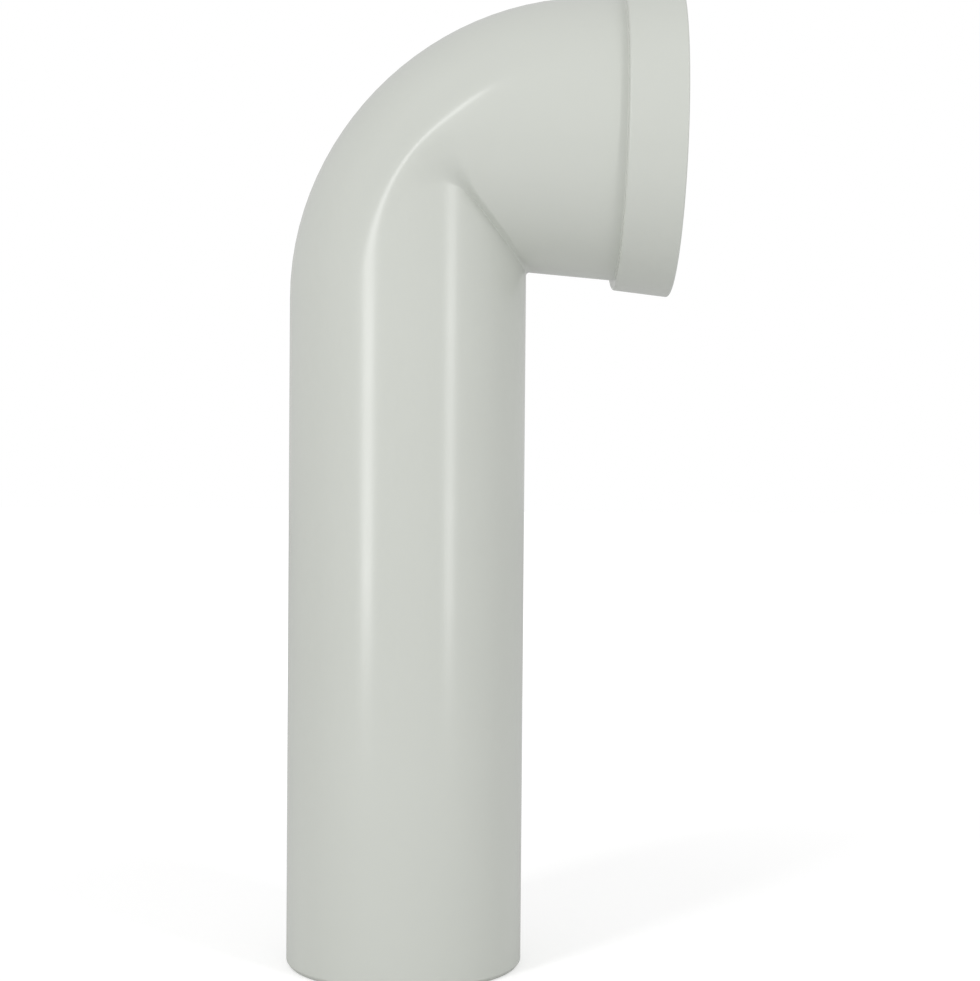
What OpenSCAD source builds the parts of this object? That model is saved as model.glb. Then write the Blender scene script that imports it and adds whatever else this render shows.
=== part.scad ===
// Long toilet pan connector: a thin-walled right-angle bend moulded in one piece, with a long
// plain leg that stands in the soil pipe's socket and a wide collar whose rubber ring grips the
// pan's outlet. Lengths are in millimetres and angles in degrees.
// The origin is the middle of the leg's lower end, +Z runs up the leg, and the mouth faces +X.

/* [Leg] */
// Outside diameter of the leg
leg_d = 110; // [100:1:120]
// Height above the leg's lower end at which the leg's axis meets the mouth's axis
axis_height = 388; // [250:1:600]
// Thickness of the wall in the leg, the bend, the neck and the collar
wall = 3.2; // [2.4:0.1:4.5]
// Depth of the chamfer round the leg's lower end, measured across the wall
chamfer_depth = 1.6; // [0.4:0.1:2]
// Length of that chamfer along the leg
chamfer_length = 2; // [1:0.5:10]

/* [Bend] */
// Radius of the wide sweep along the back of the bend
sweep_radius = 127; // [110:1:140]
// Radius of the tight corner on the inside of the bend
corner_radius = 2; // [1:0.5:8]
// Angle by which the mouth's axis dips below level
mouth_dip = 1; // [0:0.5:4]

/* [Neck] */
// Outside diameter of the neck at the inside corner of the bend
neck_start_d = 125.3; // [118:0.1:129]
// Outside diameter of the neck where it meets the collar
neck_end_d = 131; // [128:0.1:136]

/* [Collar] */
// Distance along the mouth's axis from the leg's axis to the back of the collar
collar_back = 97; // [90:1:140]
// Length of the collar
collar_length = 26; // [22:1:40]
// Outside diameter of the collar at its back
collar_back_d = 140; // [138:0.1:150]
// Outside diameter of the collar at the mouth
collar_rim_d = 145.2; // [140:0.1:156]
// Radius of the collar's rounded edges
edge_radius = 1; // [0.4:0.1:1.5]
// Length of the bead inside the mouth, which keeps the ring in the collar
bead_length = 3; // [2:0.5:5]
// Height of that bead above the wall of the collar
bead_height = 2.4; // [1:0.1:3]

/* [Ring] */
// Diameter of the hole between the ring's lips, before a pan outlet of about 102 spreads them
lip_bore_d = 95; // [88:0.5:97]
// Number of lips
lip_count = 3; // [2:1:4]
// Distance by which each lip's edge trails its root, away from the mouth
lip_trail = 8; // [4:0.5:10]
// Thickness of a lip at its root
lip_root = 2.4; // [1.5:0.1:3]
// Thickness of a lip at its edge
lip_edge = 1.4; // [1:0.1:2]
// Thickness of the band that carries the lips
band = 3; // [2:0.1:4]
// Gap left all round the ring in its seat
seat_gap = 0.3; // [0.1:0.05:0.5]

/* [Hidden] */
$fn = 144;
// Strands round the bend, and points along each strand's curve
strand_count = 72;
curve_steps = 12;
// Straight length kept at each end of the bend's curved part
run_out = 3;
// The bend's wall is thinner than its neighbours' by this much on each side, and reaches this
// far into them, so that it is set into the middle of their ends
bend_inset = 0.05;
bend_set_in = 1;
// How far a curve's inner handles reach, as a share of its radius, to follow a quarter circle
arc_pull = 0.5523;
// Share of the ring's length behind the middle of its first lip root
first_lip = 0.14;
// Straight pieces round each rounded edge
corner_steps = 5;

leg_r = leg_d / 2;
collar_rim = collar_back + collar_length;
mouth_along = [cos(mouth_dip), 0, -sin(mouth_dip)];
mouth_up = [sin(mouth_dip), 0, cos(mouth_dip)];
axes_meet = [0, 0, axis_height];
neck_slope = (neck_end_d - neck_start_d) / 2 / (collar_back - leg_r);
collar_slope = (collar_rim_d - collar_back_d) / 2 / collar_length;

// Outside radius of the neck and of the collar, at a distance along the mouth's axis
function neck_r(along) = neck_start_d / 2 + neck_slope * (along - leg_r);
function collar_r(along) = collar_back_d / 2 + collar_slope * (along - collar_back);

function blend(from, to, share) = from + (to - from) * share;

// Strands run along the skin from the leg to the neck, at an angle round the pipe that is 0 at
// the back and 180 at the inside corner. Each goes straight up the leg, turns, and goes straight
// along the neck. The depth below the outer surface is 0 on the outside and the wall in the bore.
function outward(angle) = cos(angle) * mouth_up + [0, sin(angle), 0];
function neck_line_start(angle, depth) = axes_meet + (neck_r(0) - depth) * outward(angle);
function neck_line_run(angle) = mouth_along + neck_slope * outward(angle);
function leg_line(angle, depth) = (leg_r - depth) * [-cos(angle), sin(angle), 0];

// Distance along the neck's line at which it stands over the leg's line
function meeting_along(angle, depth) =
    (leg_line(angle, depth).x - neck_line_start(angle, depth).x) / neck_line_run(angle).x;
function meeting_height(angle, depth) =
    neck_line_start(angle, depth).z + meeting_along(angle, depth) * neck_line_run(angle).z;

// The turn's radius falls from the wide sweep at the back to the tight corner inside
function turn_radius(angle, depth) =
    blend(corner_radius + depth, sweep_radius - depth, pow((1 + cos(angle)) / 2, 2));
function turn_start_height(angle) = meeting_height(angle, 0) - turn_radius(angle, 0);

bend_base = min(turn_start_height(0), turn_start_height(180)) - run_out;
bend_end = sweep_radius - leg_r + run_out;

function curve_point(a, b, c, d, t) =
    pow(1 - t, 3) * a + 3 * pow(1 - t, 2) * t * b + 3 * (1 - t) * pow(t, 2) * c + pow(t, 3) * d;

function strand(angle, depth) =
    let (
        radius = turn_radius(angle, depth),
        on_leg = leg_line(angle, depth),
        on_neck = neck_line_start(angle, depth),
        run = neck_line_run(angle),
        start = on_leg + [0, 0, meeting_height(angle, depth) - radius],
        end = on_neck + (meeting_along(angle, depth) + radius) * run,
        start_handle = start + [0, 0, arc_pull * radius],
        end_handle = end - arc_pull * radius * run / norm(run)
    )
    concat(
        [on_leg + [0, 0, bend_base - bend_set_in]],
        [for (i = [0:curve_steps]) curve_point(start, start_handle, end_handle, end, i / curve_steps)],
        [on_neck + (bend_end + bend_set_in) * run]
    );

// Corner points of a rounded edge, from one angle to another
function rounded(centre, from, to) =
    [for (i = [0:corner_steps]) centre + edge_radius * [cos(blend(from, to, i / corner_steps)),
                                                        sin(blend(from, to, i / corner_steps))]];

// The bend, as a skin of strands outside, another in the bore, and a flat ring at each end
module bend() {
    rows = curve_steps + 3;
    skin_points = rows * strand_count;
    depths = [bend_inset, wall - bend_inset];
    skins = [for (depth = depths, i = [0:strand_count - 1]) each strand(i * 360 / strand_count, depth)];
    function at(skin, i, row) = skin * skin_points + (i % strand_count) * rows + row;
    function two_triangles(a, b, c, d) = [[a, c, b], [a, d, c]];
    faces = [
        for (i = [0:strand_count - 1]) each concat(
            [for (row = [0:rows - 2]) each two_triangles(
                at(0, i, row), at(0, i, row + 1), at(0, i + 1, row + 1), at(0, i + 1, row))],
            [for (row = [0:rows - 2]) each two_triangles(
                at(1, i, row), at(1, i + 1, row), at(1, i + 1, row + 1), at(1, i, row + 1))],
            two_triangles(at(0, i, 0), at(0, i + 1, 0), at(1, i + 1, 0), at(1, i, 0)),
            two_triangles(
                at(0, i, rows - 1), at(1, i, rows - 1), at(1, i + 1, rows - 1), at(0, i + 1, rows - 1))
        )
    ];
    polyhedron(points = skins, faces = faces);
}

// The straight leg, chamfered at its lower end
module leg() {
    rotate_extrude()
        polygon([
            [leg_r - wall, 0],
            [leg_r - chamfer_depth, 0],
            [leg_r, chamfer_length],
            [leg_r, bend_base],
            [leg_r - wall, bend_base]
        ]);
}

// Stands a shape that is built along +Z on the mouth's axis
module along_mouth() {
    translate(axes_meet) rotate([0, 90 + mouth_dip, 0]) children();
}

// The flared neck's last stretch with the collar, the seat for the ring and the bead in the mouth
module neck_and_collar() {
    seat_floor = collar_back + wall;
    bead_back = collar_rim - bead_length;
    bead_r = collar_r(collar_rim) - wall - bead_height;
    ramp_back = bead_back - bead_height;
    rotate_extrude()
        polygon(concat(
            [
                [neck_r(bend_end) - wall, bend_end],
                [neck_r(bend_end), bend_end],
                [neck_r(collar_back), collar_back]
            ],
            rounded([collar_r(collar_back) - edge_radius, collar_back + edge_radius], -90, 0),
            rounded([collar_r(collar_rim) - edge_radius, collar_rim - edge_radius], 0, 90),
            rounded([bead_r + edge_radius, collar_rim - edge_radius], 90, 180),
            [
                [bead_r, bead_back],
                [collar_r(ramp_back) - wall, ramp_back],
                [collar_r(seat_floor) - wall, seat_floor],
                [neck_r(seat_floor) - wall, seat_floor]
            ]
        ));
}

module bend_body() {
    color([0.81, 0.82, 0.79]) union() {
        leg();
        bend();
        along_mouth() neck_and_collar();
    }
}

// A band that lies in the collar's seat, with lips that lean away from the mouth
module lip_ring() {
    back = collar_back + wall + seat_gap;
    front = collar_rim - bead_length - bead_height - seat_gap;
    first_root = blend(back, front, first_lip);
    root_step = (blend(back, front, 1 - first_lip) - first_root) / (lip_count - 1);
    function band_r(along) = collar_r(along) - wall - seat_gap;
    color([0.2, 0.2, 0.21]) along_mouth() rotate_extrude() union() {
        polygon([
            [band_r(back) - band, back],
            [band_r(back), back],
            [band_r(front), front],
            [band_r(front) - band, front]
        ]);
        for (i = [0:lip_count - 1]) {
            root = first_root + i * root_step;
            edge = root - lip_trail;
            polygon([
                [lip_bore_d / 2, edge - lip_edge / 2],
                [band_r(root) - band / 2, root - lip_root / 2],
                [band_r(root) - band / 2, root + lip_root / 2],
                [lip_bore_d / 2, edge + lip_edge / 2]
            ]);
        }
    }
}

bend_body();
lip_ring();
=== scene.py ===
import math
import bmesh
import bpy
from mathutils import Matrix, Vector


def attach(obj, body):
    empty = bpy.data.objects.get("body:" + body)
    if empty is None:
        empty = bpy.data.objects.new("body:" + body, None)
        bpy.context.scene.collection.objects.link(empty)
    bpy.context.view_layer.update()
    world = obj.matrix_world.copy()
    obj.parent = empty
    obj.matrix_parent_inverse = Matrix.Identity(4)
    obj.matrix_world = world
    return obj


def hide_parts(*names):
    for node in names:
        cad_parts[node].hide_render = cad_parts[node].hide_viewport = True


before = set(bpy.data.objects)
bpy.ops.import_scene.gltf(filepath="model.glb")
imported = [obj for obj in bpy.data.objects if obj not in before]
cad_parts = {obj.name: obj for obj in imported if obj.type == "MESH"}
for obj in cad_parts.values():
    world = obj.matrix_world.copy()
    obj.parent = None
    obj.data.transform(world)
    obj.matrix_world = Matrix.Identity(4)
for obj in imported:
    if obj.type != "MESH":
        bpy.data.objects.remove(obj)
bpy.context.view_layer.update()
print("frame loaded:", sorted(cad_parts))

# Sizes of the pipe bend in metres, the same as the CAD part's
pipe = {
    "legRadius": 0.055,
    "axisHeight": 0.388,  # where the leg's axis meets the mouth's
    "wall": 0.0032,
    "chamferDepth": 0.0016,
    "chamferLength": 0.002,
    "sweepRadius": 0.133,  # along the back
    "cornerRadius": 0.002,  # on the inside
    "mouthDip": math.radians(1),
    "neckStartRadius": 0.06265,
    "neckEndRadius": 0.0655,
    "collarBack": 0.097,
    "collarRim": 0.123,
    "collarBackRadius": 0.07,
    "collarRimRadius": 0.0726,
    "beadLength": 0.003,
    "beadHeight": 0.0024,
    "edgeRadius": 0.001,
    "softEdge": 0.00035,  # the small rounding of the edges that the CAD leaves sharp
    "sweepUntil": math.radians(55),  # angles from the back between which the wide sweep
    "cornerFrom": math.radians(125),  # gives way to the tight corner
    "runOut": 0.003,
    "strands": 240,
    "turnSteps": 26,
    "arcPull": 0.5523,  # how far a curve's handles reach, to follow a quarter circle
    "straightShares": (0.35, 0.65, 0.85, 0.95, 0.985),  # rows that close up towards the turn
    "legRows": (0.006, 0.02, 0.06, 0.11, 0.16, 0.21, 0.26, 0.3, 0.305),  # heights of rows on the leg
    "boreRows": (0.3, 0.22, 0.14, 0.06, 0.01),
    "neckRows": (0.0815, 0.084, 0.089, 0.094, 0.0962),  # distances of rows along the neck
    "neckBoreRows": (0.097, 0.088),
    "seatRow": 0.109,
    "rowInset": 0.003,  # rows this far inside the collar's two ends
    "collarRow": 0.11,
    "edgeSteps": 5,
    "softSteps": 3,
}

mouthAlong = Vector((math.cos(pipe["mouthDip"]), 0, -math.sin(pipe["mouthDip"])))
mouthUp = Vector((math.sin(pipe["mouthDip"]), 0, math.cos(pipe["mouthDip"])))
axesMeet = Vector((0, 0, pipe["axisHeight"]))
neckLength = pipe["collarBack"] - pipe["legRadius"]
neckSlope = (pipe["neckEndRadius"] - pipe["neckStartRadius"]) / neckLength
collarLength = pipe["collarRim"] - pipe["collarBack"]
collarSlope = (pipe["collarRimRadius"] - pipe["collarBackRadius"]) / collarLength


def onLegAxis(distance):
    return Vector((0, 0, distance))


def onMouthAxis(distance):
    return axesMeet + distance * mouthAlong


def neckRadius(along):
    return pipe["neckStartRadius"] + neckSlope * (along - pipe["legRadius"])


def collarRadius(along):
    return pipe["collarBackRadius"] + collarSlope * (along - pipe["collarBack"])


def blendTo(start, end, share):
    return start + (end - start) * share


# A strand runs up the leg, turns, and runs out along the neck, at an angle round the pipe
# that is 0 at the back and half a turn at the inside corner
def strandLines(angle, depth):
    outward = math.cos(angle) * mouthUp + Vector((0, math.sin(angle), 0))
    onLeg = (pipe["legRadius"] - depth) * Vector((-math.cos(angle), math.sin(angle), 0))
    onNeck = axesMeet + (neckRadius(0) - depth) * outward
    run = mouthAlong + neckSlope * outward
    meetingAlong = (onLeg.x - onNeck.x) / run.x
    return onLeg, onNeck, run, meetingAlong, onNeck.z + meetingAlong * run.z


def turnRadius(angle, depth):
    fromBack = min(angle, 2 * math.pi - angle)
    share = (pipe["cornerFrom"] - fromBack) / (pipe["cornerFrom"] - pipe["sweepUntil"])
    share = min(1, max(0, share))
    sweep = pipe["sweepRadius"] - pipe["legRadius"] + (pipe["legRadius"] - depth) * math.cos(angle)
    return blendTo(pipe["cornerRadius"] + depth, sweep, share * share * (3 - 2 * share))


strandAngles = [2 * math.pi * i / pipe["strands"] for i in range(pipe["strands"])]
bendBase = min(strandLines(a, 0)[4] - turnRadius(a, 0) for a in strandAngles) - pipe["runOut"]
bendEnd = max(strandLines(a, 0)[3] + turnRadius(a, 0) for a in strandAngles) + pipe["runOut"]


def strandPoints(angle, depth):
    onLeg, onNeck, run, meetingAlong, meetingHeight = strandLines(angle, depth)
    radius = turnRadius(angle, depth)
    base = onLeg + Vector((0, 0, bendBase))
    start = onLeg + Vector((0, 0, meetingHeight - radius))
    end = onNeck + (meetingAlong + radius) * run
    last = onNeck + bendEnd * run
    startHandle = start + Vector((0, 0, pipe["arcPull"] * radius))
    endHandle = end - pipe["arcPull"] * radius * run.normalized()
    points = [base.lerp(start, share) for share in pipe["straightShares"]]
    for step in range(pipe["turnSteps"] + 1):
        t = step / pipe["turnSteps"]
        points.append((1 - t) ** 3 * start + 3 * (1 - t) ** 2 * t * startHandle
                      + 3 * (1 - t) * t ** 2 * endHandle + t ** 3 * end)
    points += [last.lerp(end, share) for share in reversed(pipe["straightShares"])]
    return [base] + points + [last]


# Two ring places this close, in metres, count as the same
samePlace = 2e-5


def deselectAll():
    if bpy.context.mode != "OBJECT":
        bpy.ops.object.mode_set(mode="OBJECT")
    bpy.ops.object.select_all(action="DESELECT")


def startRing(name, count, radius, centre, tilt):
    deselectAll()
    bpy.ops.mesh.primitive_circle_add(vertices=count, radius=radius, location=centre,
                                      rotation=(0, tilt, 0))
    piece = bpy.context.object
    piece.name = name
    piece.data.name = name
    bpy.ops.object.transform_apply(location=True, rotation=True, scale=True)
    bpy.ops.object.mode_set(mode="EDIT")
    bpy.ops.mesh.select_mode(type="EDGE")
    bpy.ops.mesh.select_all(action="SELECT")
    return piece


# The selected ring is drawn out through (distance along the axis, radius) pairs, of which the
# first is where it is
def extrudeProfile(profile, onAxis):
    for (alongNow, radiusNow), (along, radius) in zip(profile, profile[1:]):
        step = onAxis(along) - onAxis(alongNow)
        bpy.ops.mesh.extrude_edges_move(TRANSFORM_OT_translate={"value": step})
        if radius != radiusNow:
            bpy.ops.transform.resize(value=[radius / radiusNow] * 3, center_override=onAxis(along))


# The selected ring is drawn out round the bend, its points laid on the strands row by row
def extrudeBend(piece, depth, backwards):
    strands = [strandPoints(angle, depth) for angle in strandAngles]
    rows = range(1, len(strands[0]))
    if backwards:
        rows = reversed(range(len(strands[0]) - 1))
    for row in rows:
        bpy.ops.mesh.extrude_edges_move(TRANSFORM_OT_translate={"value": (0, 0, 0)})
        mesh = bmesh.from_edit_mesh(piece.data)
        strandOf = mesh.verts.layers.int["strand"]
        for vertex in mesh.verts:
            if vertex.select:
                vertex.co = strands[vertex[strandOf]][row]
        bmesh.update_edit_mesh(piece.data)


def numberStrands(piece):
    mesh = bmesh.from_edit_mesh(piece.data)
    strandOf = mesh.verts.layers.int.new("strand")
    for vertex in mesh.verts:
        turn = math.atan2(vertex.co.y, -vertex.co.x) / (2 * math.pi)
        vertex[strandOf] = round(turn * pipe["strands"]) % pipe["strands"]
    bmesh.update_edit_mesh(piece.data)


def closeRing():
    bpy.ops.mesh.select_all(action="DESELECT")
    bpy.ops.mesh.select_non_manifold(extend=False, use_wire=False, use_boundary=True,
                                     use_multi_face=False, use_non_contiguous=False, use_verts=False)
    bpy.ops.mesh.bridge_edge_loops()
    bpy.ops.mesh.select_all(action="SELECT")
    bpy.ops.mesh.normals_make_consistent(inside=False)


# Rounds the edges of the rings at these (distance along the axis, radius) pairs
def bevelRings(piece, onAxis, rings, width, segments):
    origin = onAxis(0)
    axis = (onAxis(1) - origin).normalized()
    bpy.ops.mesh.select_all(action="DESELECT")
    mesh = bmesh.from_edit_mesh(piece.data)

    def isAt(vertex, along, radius):
        away = vertex.co - origin
        distance = away.dot(axis)
        radiusThere = (away - distance * axis).length
        return abs(distance - along) < samePlace and abs(radiusThere - radius) < samePlace

    for edge in mesh.edges:
        if any(isAt(edge.verts[0], *ring) and isAt(edge.verts[1], *ring) for ring in rings):
            edge.select = True
    bmesh.update_edit_mesh(piece.data)
    bpy.ops.mesh.bevel(offset=width, segments=segments, affect="EDGES", clamp_overlap=True)


# Edges that turn by more than this angle stay sharp, and large faces weigh most in the shading
shading = {
    "sharpFrom": math.radians(32),
    "faceWeight": 60,
}


def finishPiece(piece, body, node, material):
    bpy.ops.object.mode_set(mode="OBJECT")
    deselectAll()
    piece.select_set(True)
    bpy.context.view_layer.objects.active = piece
    bpy.ops.object.shade_smooth_by_angle(angle=shading["sharpFrom"])
    normals = piece.modifiers.new("evenNormals", "WEIGHTED_NORMAL")
    normals.keep_sharp = True
    normals.weight = shading["faceWeight"]
    bpy.ops.object.modifier_apply(modifier=normals.name)
    piece.data.materials.clear()
    piece.data.materials.append(material)
    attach(piece, body)
    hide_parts(node)
    print(piece.name, "finished:", len(piece.data.polygons), "faces")


# One node group gives every moulded surface its mottling, its fine grain and its slight waves
pattern = {
    "mottleDetail": 5,
    "mottleRoughness": 0.55,
    "mottleRange": (0.35, 0.65),  # noise values between which the two colours blend
    "roughRange": (0.3, 0.7),  # and between which the roughness goes from low to high
    "grainDetail": 3,
    "waveDetail": 1,
}


def makeMouldedSurface():
    group = bpy.data.node_groups.new("mouldedSurface", "ShaderNodeTree")
    for name, kind, value in (("Colour", "NodeSocketColor", (0.8, 0.8, 0.8, 1)),
                              ("Mottle Colour", "NodeSocketColor", (0.7, 0.7, 0.7, 1)),
                              ("Mottle Scale", "NodeSocketFloat", 20),
                              ("Mottle Share", "NodeSocketFloat", 0.3),
                              ("Grain Scale", "NodeSocketFloat", 900),
                              ("Grain Height", "NodeSocketFloat", 0.1),
                              ("Wave Scale", "NodeSocketFloat", 12),
                              ("Roughness Low", "NodeSocketFloat", 0.2),
                              ("Roughness High", "NodeSocketFloat", 0.3)):
        socket = group.interface.new_socket(name, in_out="INPUT", socket_type=kind)
        socket.default_value = value
    for name, kind in (("Colour", "NodeSocketColor"),
                       ("Roughness", "NodeSocketFloat"),
                       ("Height", "NodeSocketFloat")):
        group.interface.new_socket(name, in_out="OUTPUT", socket_type=kind)
    nodes, links = group.nodes, group.links
    given = nodes.new("NodeGroupInput")
    result = nodes.new("NodeGroupOutput")
    place = nodes.new("ShaderNodeTexCoord")

    mottle = nodes.new("ShaderNodeTexNoise")
    mottle.inputs["Detail"].default_value = pattern["mottleDetail"]
    mottle.inputs["Roughness"].default_value = pattern["mottleRoughness"]
    links.new(place.outputs["Object"], mottle.inputs["Vector"])
    links.new(given.outputs["Mottle Scale"], mottle.inputs["Scale"])
    spread = nodes.new("ShaderNodeMapRange")
    spread.inputs["From Min"].default_value = pattern["mottleRange"][0]
    spread.inputs["From Max"].default_value = pattern["mottleRange"][1]
    links.new(mottle.outputs["Fac"], spread.inputs["Value"])
    share = nodes.new("ShaderNodeMath")
    share.operation = "MULTIPLY"
    links.new(spread.outputs["Result"], share.inputs[0])
    links.new(given.outputs["Mottle Share"], share.inputs[1])
    colours = nodes.new("ShaderNodeMix")
    colours.data_type = "RGBA"
    links.new(share.outputs["Value"], colours.inputs["Factor"])
    links.new(given.outputs["Colour"], colours.inputs["A"])
    links.new(given.outputs["Mottle Colour"], colours.inputs["B"])
    links.new(colours.outputs["Result"], result.inputs["Colour"])

    grain = nodes.new("ShaderNodeTexNoise")
    grain.inputs["Detail"].default_value = pattern["grainDetail"]
    links.new(place.outputs["Object"], grain.inputs["Vector"])
    links.new(given.outputs["Grain Scale"], grain.inputs["Scale"])
    rough = nodes.new("ShaderNodeMapRange")
    rough.inputs["From Min"].default_value = pattern["roughRange"][0]
    rough.inputs["From Max"].default_value = pattern["roughRange"][1]
    links.new(mottle.outputs["Fac"], rough.inputs["Value"])
    links.new(given.outputs["Roughness Low"], rough.inputs["To Min"])
    links.new(given.outputs["Roughness High"], rough.inputs["To Max"])
    links.new(rough.outputs["Result"], result.inputs["Roughness"])

    wave = nodes.new("ShaderNodeTexNoise")
    wave.inputs["Detail"].default_value = pattern["waveDetail"]
    links.new(place.outputs["Object"], wave.inputs["Vector"])
    links.new(given.outputs["Wave Scale"], wave.inputs["Scale"])
    fineHeight = nodes.new("ShaderNodeMath")
    fineHeight.operation = "MULTIPLY_ADD"
    links.new(grain.outputs["Fac"], fineHeight.inputs[0])
    links.new(given.outputs["Grain Height"], fineHeight.inputs[1])
    links.new(wave.outputs["Fac"], fineHeight.inputs[2])
    links.new(fineHeight.outputs["Value"], result.inputs["Height"])
    return group


# Values of the two materials; heights are in metres
finishes = {
    "paleGreyPvc": {
        "inputs": {
            "Colour": (0.625, 0.645, 0.6, 1),
            "Mottle Colour": (0.6, 0.62, 0.575, 1),
            "Mottle Scale": 14,
            "Mottle Share": 0.35,
            "Grain Scale": 1400,
            "Grain Height": 0.02,
            "Wave Scale": 16,
            "Roughness Low": 0.17,
            "Roughness High": 0.23,
        },
        "bumpHeight": 0.0001,
        "ior": 1.5,
    },
    "darkSealRubber": {
        "inputs": {
            "Colour": (0.022, 0.022, 0.024, 1),
            "Mottle Colour": (0.034, 0.034, 0.036, 1),
            "Mottle Scale": 90,
            "Mottle Share": 0.8,
            "Grain Scale": 1800,
            "Grain Height": 0.6,
            "Wave Scale": 60,
            "Roughness Low": 0.42,
            "Roughness High": 0.6,
        },
        "bumpHeight": 0.00008,
        "ior": 1.5,
    },
}


def makeFinish(name, surface):
    values = finishes[name]
    material = bpy.data.materials.new(name)
    material.use_nodes = True
    nodes, links = material.node_tree.nodes, material.node_tree.links
    shader = nodes["Principled BSDF"]
    shader.inputs["IOR"].default_value = values["ior"]
    skin = nodes.new("ShaderNodeGroup")
    skin.node_tree = surface
    for socket, value in values["inputs"].items():
        skin.inputs[socket].default_value = value
    bump = nodes.new("ShaderNodeBump")
    bump.inputs["Strength"].default_value = 1
    bump.inputs["Distance"].default_value = values["bumpHeight"]
    links.new(skin.outputs["Colour"], shader.inputs["Base Color"])
    links.new(skin.outputs["Roughness"], shader.inputs["Roughness"])
    links.new(skin.outputs["Height"], bump.inputs["Height"])
    links.new(bump.outputs["Normal"], shader.inputs["Normal"])
    return material


mouldedSurface = makeMouldedSurface()
paleGreyPvc = makeFinish("paleGreyPvc", mouldedSurface)
darkSealRubber = makeFinish("darkSealRubber", mouldedSurface)
print("materials made")


def makePipeBend():
    legRadius, wall = pipe["legRadius"], pipe["wall"]
    collarBack, collarRim = pipe["collarBack"], pipe["collarRim"]
    seatFloor = collarBack + wall
    beadRadius = collarRadius(collarRim) - wall - pipe["beadHeight"]
    beadBack = collarRim - pipe["beadLength"]
    rampBack = beadBack - pipe["beadHeight"]
    boreRadius = legRadius - wall

    endRadius = legRadius - pipe["chamferDepth"]

    piece = startRing("pipeBend", pipe["strands"], endRadius, (0, 0, 0), 0)
    numberStrands(piece)
    legRows = [pipe["chamferLength"], *pipe["legRows"], bendBase]
    extrudeProfile([(0, endRadius)] + [(row, legRadius) for row in legRows], onLegAxis)
    extrudeBend(piece, 0, False)
    neckRows = [bendEnd, *pipe["neckRows"], collarBack]
    collarRows = [collarBack, collarBack + pipe["rowInset"], pipe["collarRow"],
                  collarRim - pipe["rowInset"], collarRim]
    outside = [(row, neckRadius(row)) for row in neckRows]
    outside += [(row, collarRadius(row)) for row in collarRows]
    inside = [(collarRim, beadRadius), (beadBack, beadRadius)]
    inside += [(row, collarRadius(row) - wall) for row in (rampBack, pipe["seatRow"], seatFloor)]
    inside += [(row, neckRadius(row) - wall) for row in (seatFloor, *pipe["neckBoreRows"], bendEnd)]
    extrudeProfile(outside + inside, onMouthAxis)
    extrudeBend(piece, wall, True)
    extrudeProfile([(row, boreRadius) for row in (bendBase, *pipe["boreRows"], 0)], onLegAxis)
    closeRing()
    print("pipe bend skinned")

    roundRings = [(collarBack, collarRadius(collarBack)), (collarRim, collarRadius(collarRim)),
                  (collarRim, beadRadius)]
    softRings = [(collarBack, neckRadius(collarBack)), (beadBack, beadRadius),
                 (seatFloor, neckRadius(seatFloor) - wall)]
    legRings = [(0, endRadius), (pipe["chamferLength"], legRadius), (0, boreRadius)]
    bevelRings(piece, onMouthAxis, roundRings, pipe["edgeRadius"], pipe["edgeSteps"])
    bevelRings(piece, onMouthAxis, softRings, pipe["softEdge"], pipe["softSteps"])
    bevelRings(piece, onLegAxis, legRings, pipe["softEdge"], pipe["softSteps"])
    finishPiece(piece, "root", "bend_body", paleGreyPvc)


# The rubber ring: a band in the collar's seat with lips that trail away from the mouth
ring = {
    "gap": 0.0003,
    "band": 0.003,
    "lips": 3,
    "lipBore": 0.0475,
    "lipTrail": 0.008,
    "lipRoot": 0.0024,
    "lipEdge": 0.0014,
    "firstLip": 0.14,
    "fillet": 0.0005,
    "edge": 0.00045,
    "edgeSteps": 4,
    "filletSteps": 3,
    "count": 192,
}


def makeLipRing():
    back = pipe["collarBack"] + pipe["wall"] + ring["gap"]
    front = pipe["collarRim"] - pipe["beadLength"] - pipe["beadHeight"] - ring["gap"]

    def bandRadius(along):
        return collarRadius(along) - pipe["wall"] - ring["gap"]

    inner = bandRadius(back) - ring["band"]
    profile = [(back, bandRadius(back)), (back, inner)]
    sharp = [profile[0], profile[1]]
    roots = []
    for lip in range(ring["lips"]):
        share = blendTo(ring["firstLip"], 1 - ring["firstLip"], lip / (ring["lips"] - 1))
        root = blendTo(back, front, share)
        edge = root - ring["lipTrail"]
        radius = bandRadius(root) - ring["band"]
        tips = [(edge + side * ring["lipEdge"] / 2, ring["lipBore"]) for side in (-1, 1)]
        feet = [(root + side * ring["lipRoot"] / 2, radius) for side in (-1, 1)]
        middles = [tuple(blendTo(foot[k], tip[k], 0.5) for k in (0, 1)) for foot, tip in zip(feet, tips)]
        profile += [feet[0], middles[0], tips[0], tips[1], middles[1], feet[1]]
        sharp += tips
        roots += feet
    profile += [(front, bandRadius(front) - ring["band"]), (front, bandRadius(front))]
    sharp += profile[-2:]

    piece = startRing("lipRing", ring["count"], profile[0][1], onMouthAxis(back),
                      math.pi / 2 + pipe["mouthDip"])
    extrudeProfile(profile, onMouthAxis)
    closeRing()
    bevelRings(piece, onMouthAxis, sharp, ring["edge"], ring["edgeSteps"])
    bevelRings(piece, onMouthAxis, roots, ring["fillet"], ring["filletSteps"])
    finishPiece(piece, "root", "lip_ring", darkSealRubber)


makePipeBend()
makeLipRing()

# Floor, white to the camera, with the part's shadow on it
stage = {
    "floorSize": 12,
    "floorDrop": 0.0001,
    "floorTone": 0.8,
    "nearGlow": 0.42,  # what the camera sees besides the lit floor, close to the part
    "farGlow": 0.6,
    "nearDistance": 0.25,
    "farDistance": 1.2,
    "worldTone": 0.635,
}


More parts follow.
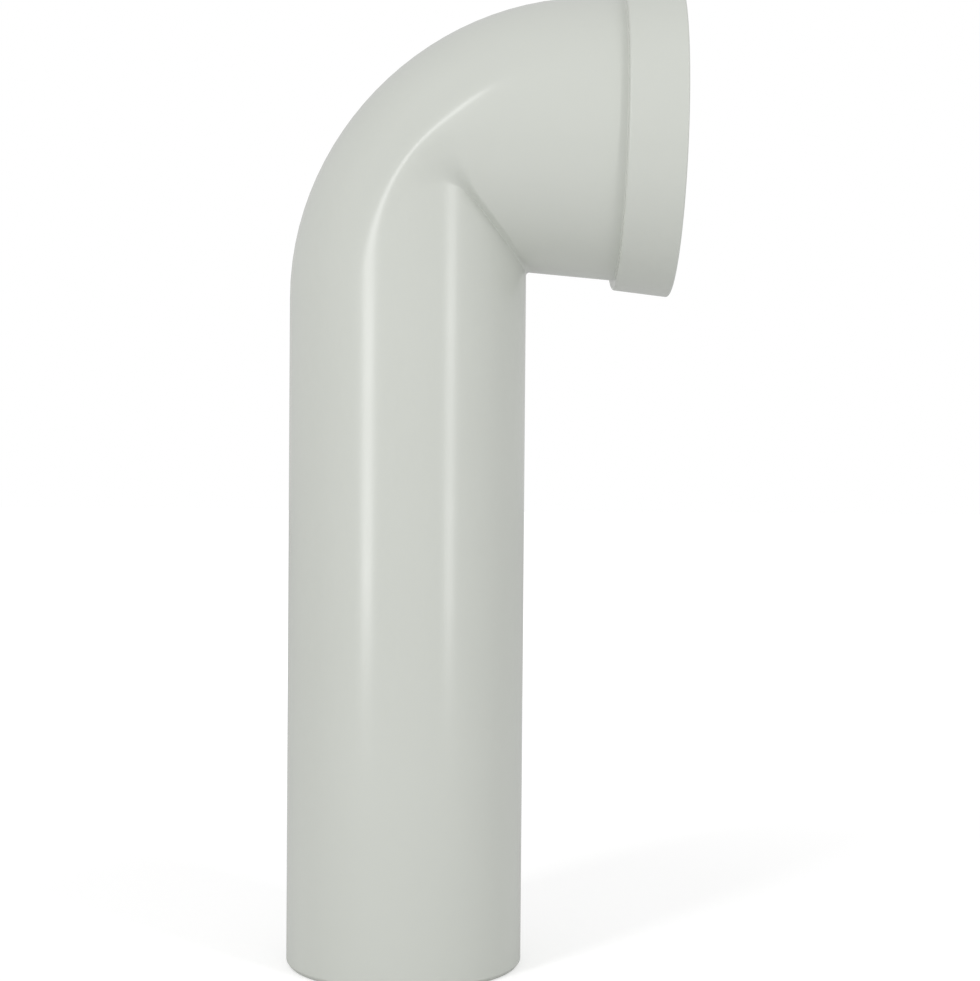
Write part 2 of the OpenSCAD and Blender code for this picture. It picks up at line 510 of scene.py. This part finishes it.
def makeFloor():
    deselectAll()
    bpy.ops.mesh.primitive_plane_add(size=stage["floorSize"], location=(0, 0, -stage["floorDrop"]))
    floor = bpy.context.object
    floor.name = "floor"
    material = bpy.data.materials.new("whiteFloor")
    material.use_nodes = True
    nodes, links = material.node_tree.nodes, material.node_tree.links
    nodes.clear()
    output = nodes.new("ShaderNodeOutputMaterial")
    matt = nodes.new("ShaderNodeBsdfDiffuse")
    matt.inputs["Color"].default_value = [stage["floorTone"]] * 3 + [1]
    glow = nodes.new("ShaderNodeEmission")
    both = nodes.new("ShaderNodeAddShader")
    choose = nodes.new("ShaderNodeMixShader")
    rays = nodes.new("ShaderNodeLightPath")
    place = nodes.new("ShaderNodeTexCoord")
    away = nodes.new("ShaderNodeVectorMath")
    away.operation = "LENGTH"
    fade = nodes.new("ShaderNodeMapRange")
    fade.inputs["From Min"].default_value = stage["nearDistance"]
    fade.inputs["From Max"].default_value = stage["farDistance"]
    fade.inputs["To Min"].default_value = stage["nearGlow"]
    fade.inputs["To Max"].default_value = stage["farGlow"]
    links.new(place.outputs["Object"], away.inputs[0])
    links.new(away.outputs["Value"], fade.inputs["Value"])
    links.new(fade.outputs["Result"], glow.inputs["Strength"])
    links.new(glow.outputs["Emission"], both.inputs[0])
    links.new(matt.outputs["BSDF"], both.inputs[1])
    links.new(rays.outputs["Is Camera Ray"], choose.inputs["Fac"])
    links.new(matt.outputs["BSDF"], choose.inputs[1])
    links.new(both.outputs["Shader"], choose.inputs[2])
    links.new(choose.outputs["Shader"], output.inputs["Surface"])
    floor.data.materials.append(material)


def makeWorld():
    world = bpy.data.worlds.new("studio")
    bpy.context.scene.world = world
    world.use_nodes = True
    nodes, links = world.node_tree.nodes, world.node_tree.links
    background = nodes["Background"]
    background.inputs["Strength"].default_value = 1
    rays = nodes.new("ShaderNodeLightPath")
    tone = nodes.new("ShaderNodeMix")
    tone.data_type = "RGBA"
    tone.inputs["A"].default_value = [stage["worldTone"]] * 3 + [1]
    tone.inputs["B"].default_value = (1, 1, 1, 1)
    links.new(rays.outputs["Is Camera Ray"], tone.inputs["Factor"])
    links.new(tone.outputs["Result"], background.inputs["Color"])


# Lamps: azimuth is from the camera's side, positive to the right, and height is of the lamp's
# middle. Two upright strips give the leg's two bright lines, in a pale, even surround.
lamps = {
    "leftStrip": {
        "azimuth": -36,
        "distance": 1.3,
        "height": 1.08,
        "wide": 0.24,
        "tall": 2.1,
        "power": 8.2,
    },
    "rightStrip": {
        "azimuth": 42,
        "distance": 1.3,
        "height": 0.93,
        "wide": 0.2,
        "tall": 1.8,
        "power": 4.6,
    },
}


stripTarget = Vector((0.02, 0, 0))


def makeLamps():
    for name, lamp in lamps.items():
        azimuth = math.radians(lamp["azimuth"])
        place = Vector((math.sin(azimuth), -math.cos(azimuth), 0)) * lamp["distance"]
        place.z = lamp["height"]
        deselectAll()
        bpy.ops.object.light_add(type="AREA", location=place)
        light = bpy.context.object
        light.name = name
        light.data.shape = "RECTANGLE"
        light.data.size = lamp["wide"]
        light.data.size_y = lamp["tall"]
        light.data.energy = lamp["power"]
        facing = stripTarget - place
        facing.z = 0  # the strips stand upright
        light.rotation_euler = facing.to_track_quat("-Z", "Y").to_euler()
        light.visible_camera = False


# Camera: place in metres, angles in degrees, lens in millimetres on a 36 mm sensor
view = {
    "place": (0.022873, -0.977307, 0.246615),
    "turn": -0.9438,
    "down": 1.4439,
    "roll": 0.4615,
    "lens": 76.558,
}


def makeCamera():
    deselectAll()
    bpy.ops.object.camera_add()
    camera = bpy.context.object
    camera.name = "photoCamera"
    camera.data.lens = view["lens"]
    camera.data.sensor_width = 36
    camera.matrix_world = (Matrix.Translation(view["place"])
                           @ Matrix.Rotation(math.radians(view["turn"]), 4, "Z")
                           @ Matrix.Rotation(math.radians(90 - view["down"]), 4, "X")
                           @ Matrix.Rotation(math.radians(view["roll"]), 4, "Z"))
    bpy.context.scene.camera = camera


makeFloor()
makeWorld()
makeLamps()
makeCamera()
bpy.context.scene.view_settings.view_transform = "Standard"
print("stage, lamps and camera placed")
